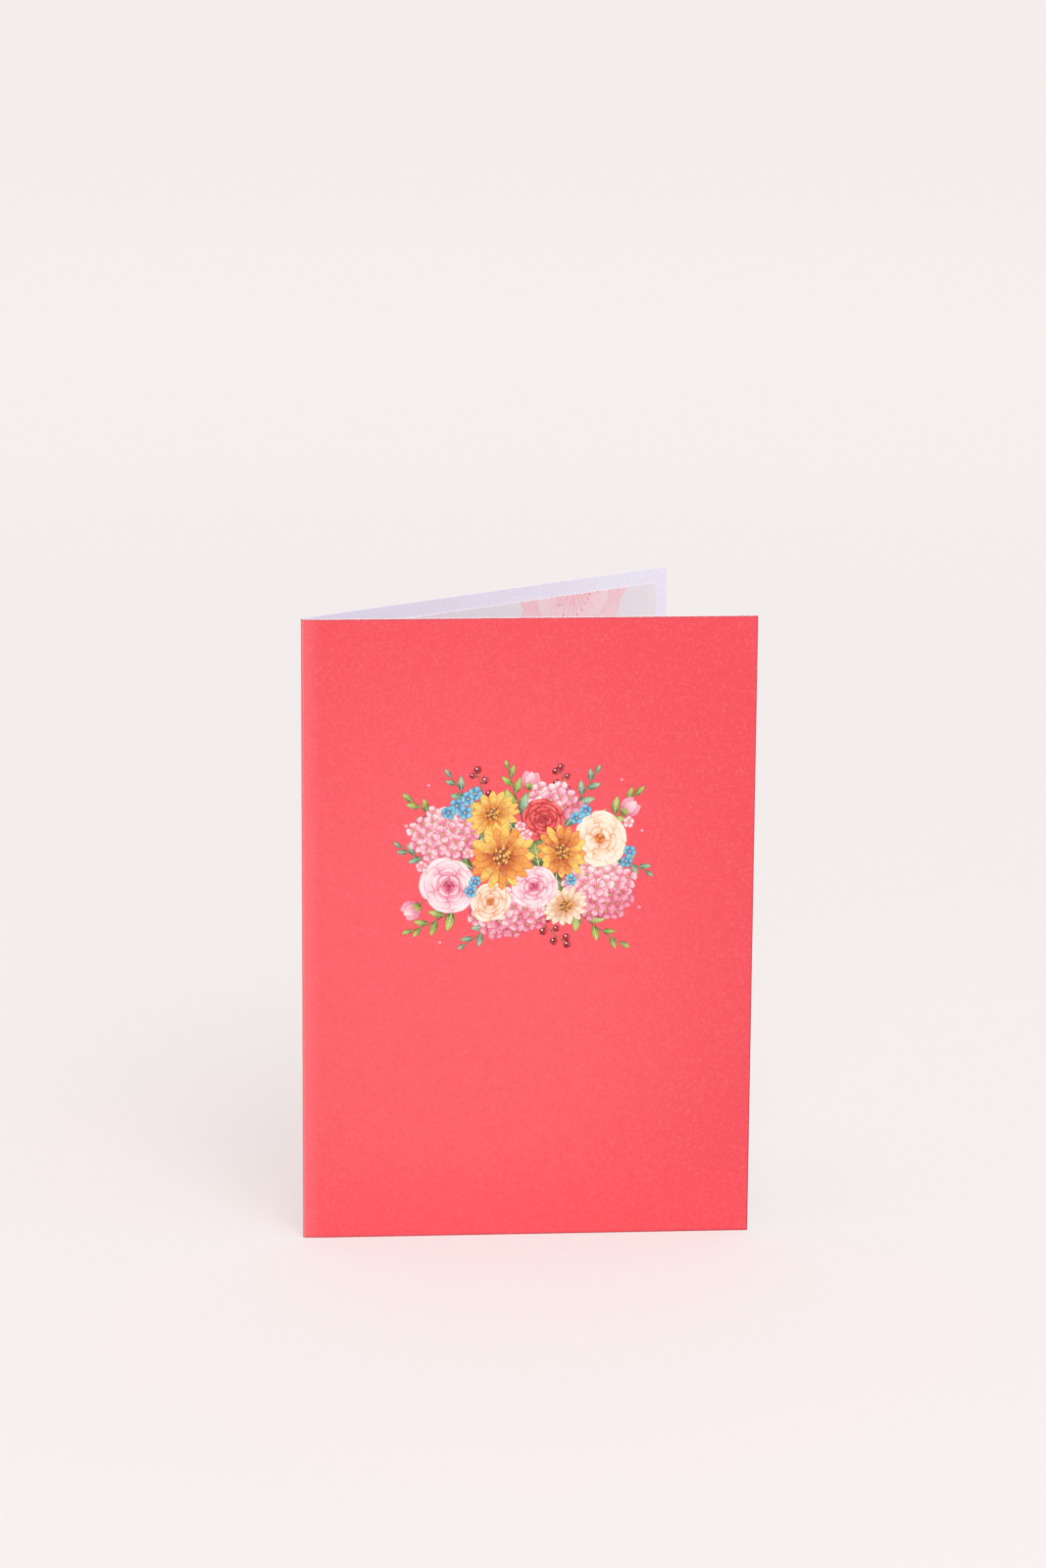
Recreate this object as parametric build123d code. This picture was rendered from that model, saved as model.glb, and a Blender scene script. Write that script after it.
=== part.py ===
from build123d import *
from math import cos, radians, sin
import os

# A folded greeting card standing open on its lower edges.
# The cover is one sheet of board with a single crease at its left-hand side. A smaller printed
# insert sheet, folded on the same crease, is glued to its inside.
# The front panel runs along +X and faces -Y. The back panel opens behind it, towards +Y.
# The origin is the middle of the footprint, on the surface that the card stands on.
# All lengths are in millimetres and all angles in degrees.

# The closed card, measured with a ruler
PANEL_WIDTH = 120.0
CARD_HEIGHT = 170.0

# The angle between the two flat panels as the card stands
OPENING_ANGLE = 31.3

# The cover board and the insert sheet
COVER_THICKNESS = 0.35
INSERT_THICKNESS = 0.30

# How far the insert's edges stay inside the cover's edges
TOP_MARGIN = 4.0
BOTTOM_MARGIN = 4.0
SIDE_MARGIN = 3.7

# The crease: the radius left inside the folded insert, which the cover wraps round
CREASE_INNER_RADIUS = 0.20

# The shoulder: each panel bulges outwards a little before it dives into the crease
SHOULDER_RADIUS = 90.0
SHOULDER_ANGLE = 5.0

# Sizes that follow from those above
STACK_THICKNESS = COVER_THICKNESS + INSERT_THICKNESS
CREASE_OUTER_RADIUS = CREASE_INNER_RADIUS + STACK_THICKNESS
PANEL_HALF_ANGLE = OPENING_ANGLE / 2
CREASE_HALF_ANGLE = PANEL_HALF_ANGLE + SHOULDER_ANGLE
FREE_EDGE_REACH = PANEL_WIDTH - CREASE_OUTER_RADIUS
INSERT_HEIGHT = CARD_HEIGHT - TOP_MARGIN - BOTTOM_MARGIN


def along(angle):
    """The unit vector at an angle from +X."""
    return Vector(cos(radians(angle)), sin(radians(angle)))


def across(angle):
    """The unit vector square to the left of along(angle)."""
    return along(angle + 90)


def upper_leg(depth, side_margin):
    """One face of the panel above the crease, from its free edge to the crease.

    depth is how far the face lies under the outside of the cover. The crease's axis is the origin.
    """
    shoulder_centre = across(CREASE_HALF_ANGLE) * (CREASE_OUTER_RADIUS - SHOULDER_RADIUS)
    shoulder_face = SHOULDER_RADIUS - depth
    shoulder_end = shoulder_centre + across(PANEL_HALF_ANGLE) * shoulder_face
    flat_length = FREE_EDGE_REACH - side_margin - shoulder_end.dot(along(PANEL_HALF_ANGLE))
    free_end = shoulder_end + along(PANEL_HALF_ANGLE) * flat_length
    flat = Line(free_end, shoulder_end)
    shoulder = CenterArc(shoulder_centre, shoulder_face, 90 + PANEL_HALF_ANGLE, SHOULDER_ANGLE)
    return flat, shoulder


def folded_face(depth, side_margin):
    """The whole folded line at a depth: upper leg, crease and lower leg."""
    upper = upper_leg(depth, side_margin)
    lower = [mirror(edge, about=Plane.XZ) for edge in upper]
    crease = CenterArc((0, 0), CREASE_OUTER_RADIUS - depth, 90 + CREASE_HALF_ANGLE, 180 - 2 * CREASE_HALF_ANGLE)
    return [*upper, crease, *lower]


def free_edge(outer_depth, inner_depth, side_margin):
    """The cut edge that closes a sheet's section at the upper leg's end."""
    outer_flat, _ = upper_leg(outer_depth, side_margin)
    inner_flat, _ = upper_leg(inner_depth, side_margin)
    return Line(outer_flat @ 0, inner_flat @ 0)


def folded_sheet(outer_depth, thickness, side_margin, height):
    """A creased sheet of even thickness, standing on z = 0, with its lower leg along +X."""
    inner_depth = outer_depth + thickness
    upper_edge = free_edge(outer_depth, inner_depth, side_margin)
    section = make_face(
        [
            *folded_face(outer_depth, side_margin),
            *folded_face(inner_depth, side_margin),
            upper_edge,
            mirror(upper_edge, about=Plane.XZ),
        ]
    )
    return extrude(Rot(0, 0, PANEL_HALF_ANGLE) * section, height)


def card_cover():
    """The outer sheet, whose lower edges carry the card."""
    return folded_sheet(0, COVER_THICKNESS, 0, CARD_HEIGHT)


def paper_insert():
    """The printed inner sheet, glued face to face inside the cover and short of it on every side."""
    sheet = folded_sheet(COVER_THICKNESS, INSERT_THICKNESS, SIDE_MARGIN, INSERT_HEIGHT)
    return Pos(0, 0, BOTTOM_MARGIN) * sheet


def main():
    os.makedirs("parts", exist_ok=True)
    cover = card_cover()
    footprint = cover.bounding_box().center()
    to_origin = Pos(-footprint.X, -footprint.Y, 0)
    export_step(to_origin * cover, "parts/card_cover.step")
    export_step(to_origin * paper_insert(), "parts/paper_insert.step")


main()
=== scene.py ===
import math
import random

import bpy
import numpy as np
from mathutils import Matrix, Vector
from mathutils.geometry import delaunay_2d_cdt


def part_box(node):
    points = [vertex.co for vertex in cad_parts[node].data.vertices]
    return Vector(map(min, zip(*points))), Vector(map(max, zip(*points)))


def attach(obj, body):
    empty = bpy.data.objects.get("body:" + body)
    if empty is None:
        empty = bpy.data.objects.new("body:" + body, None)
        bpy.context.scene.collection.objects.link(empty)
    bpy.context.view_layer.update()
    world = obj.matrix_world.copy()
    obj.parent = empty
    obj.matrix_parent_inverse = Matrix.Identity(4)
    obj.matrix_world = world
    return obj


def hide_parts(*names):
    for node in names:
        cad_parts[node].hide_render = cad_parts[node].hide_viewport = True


# A folded greeting card that stands open on a pale studio floor.
# The cover is coral outside and bare board inside. A printed insert is glued inside it, and a posy
# of watercolour flowers is printed on the front. Lengths are in metres in the card's own frame, but
# the prints are laid out in millimetres on their page.

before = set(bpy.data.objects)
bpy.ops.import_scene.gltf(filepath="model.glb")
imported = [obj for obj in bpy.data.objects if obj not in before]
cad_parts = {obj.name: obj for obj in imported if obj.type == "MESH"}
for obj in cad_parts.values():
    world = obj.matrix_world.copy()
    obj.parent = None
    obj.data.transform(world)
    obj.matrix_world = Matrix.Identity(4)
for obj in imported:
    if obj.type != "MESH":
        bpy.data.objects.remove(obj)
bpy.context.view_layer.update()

MM = 0.001

# The card's folded sheets
OPENING_ANGLE = math.radians(31.3)
COVER_THICKNESS = 0.35 * MM
INSERT_THICKNESS = 0.30 * MM
CREASE_INNER_RADIUS = 0.20 * MM
SHOULDER_RADIUS = 90 * MM
SHOULDER_ANGLE = math.radians(5)
CUT_BEVEL = 0.07 * MM
CREASE_OUTER_RADIUS = CREASE_INNER_RADIUS + COVER_THICKNESS + INSERT_THICKNESS
PANEL_HALF_ANGLE = OPENING_ANGLE / 2
CREASE_HALF_ANGLE = PANEL_HALF_ANGLE + SHOULDER_ANGLE
PANEL_FACE_REACH = (
    SHOULDER_RADIUS - (SHOULDER_RADIUS - CREASE_OUTER_RADIUS) * math.cos(SHOULDER_ANGLE)
)

COVER_LOW, COVER_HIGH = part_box("card_cover")
INSERT_LOW, INSERT_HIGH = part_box("paper_insert")
PANEL_WIDTH = COVER_HIGH.x - COVER_LOW.x
CREASE_AXIS = Vector((COVER_LOW.x + CREASE_OUTER_RADIUS, COVER_LOW.y + PANEL_FACE_REACH))
SIDE_MARGIN = COVER_HIGH.x - INSERT_HIGH.x

# How finely the sheets are divided, and from what turn on an edge is shaded sharp
FLAT_STEPS = 30
SHOULDER_STEPS = 6
CREASE_STEPS = 20
HEIGHT_STEPS = 40
SHARP_TURN = math.radians(25)


# Colours and node trees


def ink(red, green, blue):
    """An 8-bit display colour as the linear colour that nodes take."""
    channels = [value / 255 for value in (red, green, blue)]
    return tuple(c / 12.92 if c <= 0.04045 else ((c + 0.055) / 1.055) ** 2.4 for c in channels) + (1.0,)


class Tree:
    """A material's or a world's node tree, built up from short calls."""

    def __init__(self, owner):
        owner.use_nodes = True
        self.nodes = owner.node_tree.nodes
        self.links = owner.node_tree.links

    def add(self, kind, inputs=None, output=0, **settings):
        """Adds a node with its inputs and settings, and gives the named output."""
        node = self.nodes.new(kind)
        for name, value in settings.items():
            setattr(node, name, value)
        for name, value in (inputs or {}).items():
            self.feed(node.inputs[name], value)
        return node.outputs[output]

    def feed(self, socket, value):
        if isinstance(value, bpy.types.NodeSocket):
            self.links.new(value, socket)
        else:
            socket.default_value = value

    def math(self, operation, first, second=0.0):
        return self.add("ShaderNodeMath", {0: first, 1: second}, operation=operation)

    def mix(self, factor, first, second, blend="MIX"):
        """Two colours mixed. The node's colours are its inputs 6 and 7 and its output 2."""
        inputs = {"Factor": factor, 6: first, 7: second}
        return self.add("ShaderNodeMix", inputs, 2, data_type="RGBA", blend_type=blend)

    def ease(self, value, low, high, to_low=0.0, to_high=1.0):
        """A smooth step from to_low to to_high as value goes from low to high."""
        limits = {"From Min": low, "From Max": high, "To Min": to_low, "To Max": to_high}
        return self.add("ShaderNodeMapRange", {"Value": value, **limits}, interpolation_type="SMOOTHSTEP")

    def tint(self, colour, towards, value, band):
        """A colour drawn towards another as value runs through a band, given as ease takes it."""
        return self.mix(self.ease(value, *band), colour, towards)

    def noise(self, place, scale, detail=2.0, roughness=0.5):
        inputs = {"Vector": place, "Scale": scale, "Detail": detail, "Roughness": roughness}
        return self.add("ShaderNodeTexNoise", inputs)

    def parts(self, vector):
        return self.add("ShaderNodeSeparateXYZ", {"Vector": vector}).node.outputs[:]

    def vector(self, x, y, z=0.0):
        return self.add("ShaderNodeCombineXYZ", {"X": x, "Y": y, "Z": z})

    def shift(self, vector, offset):
        return self.add("ShaderNodeVectorMath", {0: vector, 1: offset}, operation="ADD")

    def length(self, vector):
        return self.add("ShaderNodeVectorMath", {0: vector}, "Value", operation="LENGTH")

    def millimetres(self):
        """The place in the card's frame, in millimetres."""
        place = self.add("ShaderNodeTexCoord", output="Object")
        return self.add("ShaderNodeVectorMath", {0: place, "Scale": 1 / MM}, operation="SCALE")

    def attribute(self, name, output="Vector"):
        return self.add("ShaderNodeAttribute", output=output, attribute_name=name)

    def seen_directly(self):
        """1 for rays that show the backdrop itself: straight, mirrored or through glass."""
        ray = self.nodes.new("ShaderNodeLightPath").outputs
        shown = self.math("MAXIMUM", ray["Is Camera Ray"], ray["Is Glossy Ray"])
        return self.math("MAXIMUM", shown, ray["Is Transmission Ray"])

    def end_in(self, output, share, lit, shown):
        """Ends the tree in a lit shader and, for the given share, one that shows a plain colour."""
        mixed = self.add("ShaderNodeMixShader", {"Fac": share, 1: lit, 2: shown})
        self.feed(self.nodes[output].inputs["Surface"], mixed)


class Look(Tree):
    """A material on the Principled shader."""

    def __init__(self, name):
        self.material = bpy.data.materials.new(name)
        super().__init__(self.material)
        self.shader = self.nodes["Principled BSDF"]

    def bump(self, height, distance, strength):
        inputs = {"Height": height, "Distance": distance, "Strength": strength}
        self.feed(self.shader.inputs["Normal"], self.add("ShaderNodeBump", inputs))

    def surface(self, colour, roughness, specular):
        self.feed(self.shader.inputs["Base Color"], colour)
        self.feed(self.shader.inputs["Roughness"], roughness)
        self.shader.inputs["Specular IOR Level"].default_value = specular
        return self.material


# Paper and board

CORAL = ink(247, 95, 104)
# Deeper coral: the random tone of the mottle, and painted shade away from the lit middle
CORAL_MOTTLE_AND_SHADE = ink(238, 78, 89)
# Painted bounce light: the deeper red that light bounced off the floor gives the card's foot
CORAL_FLOOR_BOUNCE = ink(249, 86, 97)
# Paler coral: on the tops of the paper's tooth, and as painted highlight beside the crease
CORAL_TOOTH_AND_HIGHLIGHT = ink(254, 124, 131)
CORAL_DARK = ink(231, 66, 78)
# Worn coral on the crease, strong enough to stand also as painted highlight on its rounding
CORAL_WORN_AND_HIGHLIGHT = ink(250, 172, 176)
# Painted shade: a thin dark line along the cover's cut edges
CORAL_EDGE_SHADE = ink(150, 46, 60)
BOARD_WHITE = ink(232, 229, 246)
BOARD_SHADE = ink(231, 226, 243)
BOARD_CORE = ink(252, 249, 250)
INSERT_WHITE = ink(232, 225, 232)
INSERT_SHADE = ink(231, 221, 229)
INSERT_CORE = ink(252, 240, 226)

PAPER_TOOTH = 0.012 * MM
CUT_TOOTH = 0.02 * MM

# Noise: its scale per millimetre, its detail and its roughness
FIBRES = (1.3, 3.0, 0.6)
TOOTH = (5.0, 2.0, 0.5)
FIBRE_SHARE = 0.6
MOTTLE = (0.25, 3.0, 0.6)
RUB = (1.4, 4.0, 0.7)
CHIPS = (1.1, 3.0, 0.7)
LAYERS = (9.0, 3.0, 0.6)
FLUFF = (3.0, 4.0, 0.7)

# Where the painted light on the coral is brightest, in millimetres from the crease and from the floor.
# Painted shade deepens the coral away from there, and faster across the panel than up it
PAINTED_LIGHT_ACROSS = 37.5
PAINTED_LIGHT_UP = 66.0
SHADE_FADE_ACROSS = 1.25

# How far the chips reach down from the top edge, in millimetres
CHIP_DEPTH = 0.3

# Bands: the readings at their two ends and the strengths there, 0 and 1 where none are given.
# Those named as bands are read in millimetres, and the others in noise
# Painted shade on the coral, by its distance from the lit middle
PAINTED_SHADE_BAND = (28.0, 134.0)
# Painted floor bounce on the coral, in millimetres up from the floor
FLOOR_BOUNCE_BAND = (4.0, 28.0, 0.5, 0.0)
# Painted highlight beside the crease, where the fold's shoulder catches the light
FOLD_HIGHLIGHT_BAND = (0.8, 5.5, 0.35, 0.0)
# Ink worn on the crease, which also stands as painted highlight there
CREASE_BAND = (0.35, 1.0, 1.0, 0.0)
# Painted shade along the cut edges, in millimetres from the nearest edge
EDGE_SHADE_BAND = (0.15, 0.55, 0.6, 0.0)
CHIPPED_BAND = (-0.1, 0.08, 0.8, 0.0)
LIGHT_TOOTH = (0.5, 0.75, 0.0, 0.7)
DARK_TOOTH = (0.25, 0.5, 0.4, 0.0)
DEEP_MOTTLE = (0.4, 0.7, 0.0, 0.12)
DULL_MOTTLE = (0.3, 0.7, 0.58, 0.64)
RUBBED = (0.3, 0.75, 0.15, 0.45)
CLOUDED = (0.35, 0.65)
LAYERED = (0.3, 0.7, 0.0, 0.6)


def paper_grain(look, place, strength=1.0):
    """The fine tooth of uncoated paper: returns its height, and bumps the surface with it."""
    fibres = look.noise(place, *FIBRES)
    tooth = look.noise(place, *TOOTH)
    fibres = look.math("MULTIPLY", fibres, FIBRE_SHARE)
    height = look.math("ADD", fibres, look.math("MULTIPLY", tooth, 1 - FIBRE_SHARE))
    look.bump(height, PAPER_TOOTH, strength)
    return height


def with_cut_rims(look, place, colour):
    """The coral darkened by painted shade in a thin line along the cover's cut edges, and chipped at the
    top.
    """
    across, along, up = look.parts(place)
    to_axis = (-CREASE_AXIS.x / MM, -CREASE_AXIS.y / MM, 0.0)
    reach = look.length(look.shift(look.vector(across, along), to_axis))
    from_side = look.math("SUBTRACT", (PANEL_WIDTH - CREASE_OUTER_RADIUS) / MM, reach)
    from_top = look.math("SUBTRACT", COVER_HIGH.z / MM, up)
    from_edge = look.math("MINIMUM", from_side, look.math("MINIMUM", from_top, up))
    # Painted shade: a thin dark line inside the bottom, free and top edges, standing for a contact shadow
    colour = look.tint(colour, CORAL_EDGE_SHADE, from_edge, EDGE_SHADE_BAND)
    ragged = look.math("MULTIPLY", look.noise(place, *CHIPS), CHIP_DEPTH)
    return look.tint(colour, BOARD_CORE, look.math("SUBTRACT", from_top, ragged), CHIPPED_BAND)


def coral_ink():
    """Solid coral print over toothy board, worn along the crease, with painted light: shade away from a lit
    middle, floor bounce at its foot and a highlight beside and on the crease.
    """
    look = Look("coral_ink")
    place = look.millimetres()
    height = paper_grain(look, place)
    across, _, up = look.parts(place)
    from_crease = look.math("SUBTRACT", across, COVER_LOW.x / MM)
    aside = look.math("MULTIPLY", look.math("SUBTRACT", from_crease, PAINTED_LIGHT_ACROSS), SHADE_FADE_ACROSS)
    spread = look.length(look.vector(aside, look.math("SUBTRACT", up, PAINTED_LIGHT_UP)))
    mottle = look.noise(place, *MOTTLE)
    # Painted shade: the coral deepens away from a lit middle as the lamp's light falls off
    colour = look.tint(CORAL, CORAL_MOTTLE_AND_SHADE, spread, PAINTED_SHADE_BAND)
    # Painted bounce light: the coral deeper and redder towards the floor
    colour = look.tint(colour, CORAL_FLOOR_BOUNCE, up, FLOOR_BOUNCE_BAND)
    colour = look.tint(colour, CORAL_TOOTH_AND_HIGHLIGHT, height, LIGHT_TOOTH)
    colour = look.tint(colour, CORAL_DARK, height, DARK_TOOTH)
    colour = look.tint(colour, CORAL_MOTTLE_AND_SHADE, mottle, DEEP_MOTTLE)
    # Painted highlight: the coral paler on the shoulder beside the crease
    colour = look.tint(colour, CORAL_TOOTH_AND_HIGHLIGHT, from_crease, FOLD_HIGHLIGHT_BAND)
    # Ink rubbed off along the crease, made strong enough to stand also as painted highlight on its rounding
    crease = look.ease(from_crease, *CREASE_BAND)
    rubbed = look.ease(look.noise(place, *RUB), *RUBBED)
    colour = look.mix(look.math("MULTIPLY", crease, rubbed), colour, CORAL_WORN_AND_HIGHLIGHT)
    colour = with_cut_rims(look, place, colour)
    return look.surface(colour, look.ease(mottle, *DULL_MOTTLE), specular=0.3)


def plain_paper(name, light, shade, core, tooth, clouds, flecks, roughness, specular):
    """Unprinted paper: clouds of faint shade, and flecks of its core on top of its tooth."""
    look = Look(name)
    place = look.millimetres()
    height = paper_grain(look, place, tooth)
    colour = look.tint(shade, light, look.noise(place, clouds), CLOUDED)
    return look.surface(look.tint(colour, core, height, flecks), roughness, specular)


def bare_board():
    """The cover's unprinted inside: bright board with a cool cast."""
    return plain_paper(
        "bare_board", BOARD_WHITE, BOARD_SHADE, BOARD_CORE,
        tooth=0.8, clouds=0.06, flecks=(0.4, 0.65, 0.0, 0.3), roughness=0.7, specular=0.3,
    )


def insert_paper():
    """The insert's soft off-white sheet."""
    return plain_paper(
        "insert_paper", INSERT_WHITE, INSERT_SHADE, INSERT_CORE,
        tooth=1.0, clouds=0.05, flecks=(0.45, 0.65, 0.0, 0.25), roughness=0.72, specular=0.25,
    )


def cut_edge(name, core, shade):
    """A guillotined edge: the sheet's own fibres, in fine layers."""
    look = Look(name)
    place = look.millimetres()
    across, along, _ = look.parts(place)
    layers = look.noise(look.vector(across, along), *LAYERS)
    fluff = look.noise(place, *FLUFF)
    colour = look.tint(core, shade, layers, LAYERED)
    look.bump(fluff, CUT_TOOTH, strength=0.7)
    return look.surface(colour, roughness=0.85, specular=0.2)


# The folded sheets


def turned(angle, length):
    return Vector((math.cos(angle), math.sin(angle))) * length


def leg_line(depth, margin):
    """One face's line from its free edge to the crease, with the fold laid evenly about the X axis."""
    square = math.pi / 2
    shoulder_centre = turned(square + CREASE_HALF_ANGLE, CREASE_OUTER_RADIUS - SHOULDER_RADIUS)
    shoulder_end = shoulder_centre + turned(square + PANEL_HALF_ANGLE, SHOULDER_RADIUS - depth)
    reach = PANEL_WIDTH - CREASE_OUTER_RADIUS - margin
    flat_length = reach - shoulder_end.dot(turned(PANEL_HALF_ANGLE, 1))
    flat = [
        shoulder_end + turned(PANEL_HALF_ANGLE, flat_length * step / FLAT_STEPS)
        for step in range(FLAT_STEPS, 0, -1)
    ]
    shoulder = [
        shoulder_centre
        + turned(square + PANEL_HALF_ANGLE + SHOULDER_ANGLE * step / SHOULDER_STEPS, SHOULDER_RADIUS - depth)
        for step in range(SHOULDER_STEPS + 1)
    ]
    return flat + shoulder


def folded_line(depth, margin):
    """One face's line from the back panel's free edge, round the crease, to the front panel's."""
    upper = leg_line(depth, margin)
    start = math.pi / 2 + CREASE_HALF_ANGLE
    sweep = math.pi - 2 * CREASE_HALF_ANGLE
    radius = CREASE_OUTER_RADIUS - depth
    crease = [turned(start + sweep * step / CREASE_STEPS, radius) for step in range(1, CREASE_STEPS)]
    lower = [Vector((point.x, -point.y)) for point in reversed(upper)]
    to_place = Matrix.Rotation(PANEL_HALF_ANGLE, 2)
    return [to_place @ point + CREASE_AXIS for point in upper + crease + lower]


OUTSIDE, INSIDE, CUT = range(3)

# The texture map of a sheet, in millimetres
BAKE_SPAN = 356.0
BAKE_RIM = 0.005
SHEET_GAP = 173.0
CUT_STRIPS = [246.0, 272.0, 298.0, 324.0]
CUT_STRIP_STEP = 6.0


class FoldedSheet:
    """A creased sheet of even thickness with bevelled cut edges, standing between two heights.

    Its mesh is rings of points, one above the other. A ring starts at the outside of the back
    panel's free edge, runs along the outside and round the front panel's free edge, and comes back
    along the inside.
    """

    def __init__(self, depth, thickness, margin, low, high):
        self.depth = depth
        self.thickness = thickness
        self.margin = margin
        self.levels = [low, *np.linspace(low + CUT_BEVEL, high - CUT_BEVEL, HEIGHT_STEPS), high]
        self.line_count = len(folded_line(depth, margin))
        self.ring_size = 2 * self.line_count + 4
        self.faces = []
        self.kinds = []

    def ring(self, inset):
        bevelled = inset + CUT_BEVEL
        outer = folded_line(self.depth + inset, self.margin + bevelled)
        inner = folded_line(self.depth + self.thickness - inset, self.margin + bevelled)
        near_outer = folded_line(self.depth + bevelled, self.margin + inset)
        near_inner = folded_line(self.depth + self.thickness - bevelled, self.margin + inset)
        return outer + [near_outer[-1], near_inner[-1]] + inner[::-1] + [near_inner[0], near_outer[0]]

    def points(self):
        last = len(self.levels) - 1
        rings = {inset: self.ring(inset) for inset in (0.0, CUT_BEVEL)}
        return [
            (point.x, point.y, height)
            for level, height in enumerate(self.levels)
            for point in rings[CUT_BEVEL if level in (0, last) else 0.0]
        ]

    def side_kind(self, step):
        """Which material a ring's side takes, counted from the ring's first point."""
        if step < self.line_count - 1:
            return OUTSIDE
        if self.line_count + 2 <= step < 2 * self.line_count + 1:
            return INSIDE
        return CUT

    def add_sides(self):
        for row in range(len(self.levels) - 1):
            below, above = row * self.ring_size, (row + 1) * self.ring_size
            top_row = row == len(self.levels) - 2
            for step in range(self.ring_size):
                after = (step + 1) % self.ring_size
                self.faces.append((below + step, below + after, above + after, above + step))
                self.kinds.append(CUT if top_row else self.side_kind(step))

    def add_ends(self):
        """Closes the bottom and top rings with quads from the outside line to the inside line."""
        count = self.line_count
        quads = [(step, step + 1, 2 * count - step, 2 * count + 1 - step) for step in range(count - 1)]
        quads.append((count - 1, count, count + 1, count + 2))
        quads.append((2 * count + 3, 0, 2 * count + 1, 2 * count + 2))
        top = (len(self.levels) - 1) * self.ring_size
        for quad in quads:
            self.faces.append(quad[::-1])
            self.faces.append(tuple(top + corner for corner in quad))
            self.kinds += [CUT, CUT]

    def bake_places(self):
        """Each face corner's place on the texture map, in millimetres of the sheet laid flat.

        The two faces lie one above the other, and the thin cut edges have wide strips beside them.
        """
        count, size = self.line_count, self.ring_size
        line = folded_line(self.depth, self.margin)
        steps = [(after - before).length for before, after in zip(line, line[1:])]
        run = [float(length) / MM for length in np.cumsum([0.0, *steps])]
        across = run + [run[-1]] * 2 + run[::-1] + [0.0] * 2
        layer = [0] * count + [1, 2] + [3] * count + [2, 1]
        end_layer = [1] * (count + 1) + [2] * (count + 2) + [1]
        last = len(self.levels) - 1
        places = []
        for face, kind in zip(self.faces, self.kinds):
            rows = {corner // size for corner in face}
            for corner in face:
                row, step = divmod(corner, size)
                height = self.levels[row] / MM
                if kind != CUT:
                    places.append((across[step], height + SHEET_GAP * (kind == INSIDE)))
                elif rows & {0, last}:
                    depth = end_layer[step] if row in (0, last) else layer[step]
                    places.append((CUT_STRIPS[0 if 0 in rows else 1] + CUT_STRIP_STEP * depth, across[step]))
                else:
                    front_edge = count - 1 <= step <= count + 2
                    places.append((CUT_STRIPS[2 + front_edge] + CUT_STRIP_STEP * layer[step], height))
        return places

    def build(self, name, materials):
        self.add_sides()
        self.add_ends()
        mesh = bpy.data.meshes.new(name)
        mesh.from_pydata(self.points(), [], self.faces)
        mesh.polygons.foreach_set("material_index", self.kinds)
        mesh.polygons.foreach_set("use_smooth", [True] * len(self.faces))
        mesh.set_sharp_from_angle(angle=SHARP_TURN)
        layer = mesh.uv_layers.new(name="OFBake")
        places = np.array(self.bake_places(), np.float32) / BAKE_SPAN + BAKE_RIM
        layer.data.foreach_set("uv", places.ravel())
        for material in materials:
            mesh.materials.append(material)
        return linked(name, mesh)


def linked(name, mesh):
    piece = bpy.data.objects.new(name, mesh)
    bpy.context.scene.collection.objects.link(piece)
    return piece


# Brush marks: outlines on a page, in millimetres, with x to the right and z up


def moved(x, z):
    return np.array([[1.0, 0.0, x], [0.0, 1.0, z], [0.0, 0.0, 1.0]])


def spun(angle):
    cosine, sine = math.cos(angle), math.sin(angle)
    return np.array([[cosine, -sine, 0.0], [sine, cosine, 0.0], [0.0, 0.0, 1.0]])


def stretched(x, z):
    return np.diag([x, z, 1.0])


def carried(axes, points):
    """Points carried through a flat transform."""
    return np.asarray(points, float) @ axes[:2, :2].T + axes[:2, 2]


def signed_area(outline):
    x, z = outline.T
    return 0.5 * float(np.sum(x * np.roll(z, -1) - z * np.roll(x, -1)))


# How wide a wet edge is drawn, and the mean reach below which a mark has only a middle point
WET_EDGE = 0.34
SMALL_MARK = 1.3


class Mark:
    """One brush mark: an outline on the page, its own axes and its two inks.

    In its own axes a mark runs from 0 at its root to 1 at its tip, and from -1 to 1 across.
    """

    def __init__(self, axes, shape, inks, streaks=0.0, line=1.0):
        outline = carried(axes, shape)
        self.outline = outline if signed_area(outline) > 0 else outline[::-1]
        self.to_own = np.linalg.inv(axes)
        self.inks = inks
        self.streaks = streaks
        self.line = line

    def rim_distance(self, points):
        """How far each point lies inside the outline."""
        run = np.roll(self.outline, -1, axis=0) - self.outline
        offset = points[:, None, :] - self.outline[None]
        share = (offset * run).sum(2) / np.maximum((run * run).sum(1), 1e-12)
        nearest = offset - np.clip(share, 0, 1)[..., None] * run
        return np.linalg.norm(nearest, axis=2).min(1)

    def inner_line(self):
        """The outline drawn in by the wet edge's width, or only its middle where it is small."""
        middle = self.outline.mean(0)
        size = np.linalg.norm(self.outline - middle, axis=1).mean()
        if size < SMALL_MARK:
            return middle[None]
        return middle + (self.outline - middle) * (1 - WET_EDGE / size)


RIPPLES = (7, 11)
NOTCH_WIDTH = 0.35


def petal_shape(rng, widest, fullness, notch=0.0, wave=0.05, steps=10):
    """A petal from root to tip and back, blunt or pointed, with an uneven edge."""
    share = (1 - np.cos(np.linspace(0, math.pi, steps + 1))) / 2
    power = math.log(0.5) / math.log(widest)
    half = np.sin(math.pi * share ** power).clip(0) ** fullness
    sides = []
    for side in (1, -1):
        ripple = 1 + wave * np.sin(share * rng.uniform(*RIPPLES) + rng.uniform(0, math.tau))
        across = side * half * ripple
        along = share * (1 - notch * np.exp(-(across / NOTCH_WIDTH) ** 2) * share ** 4)
        sides.append(np.column_stack([along, across]))
    return np.vstack([sides[0], sides[1][-2:0:-1]])


LIP_SWEEP = 1.15
LIP_POINTS = 9
LIP_MIDDLE = 0.42
LIP_REACH = (0.57, 0.94)


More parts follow.
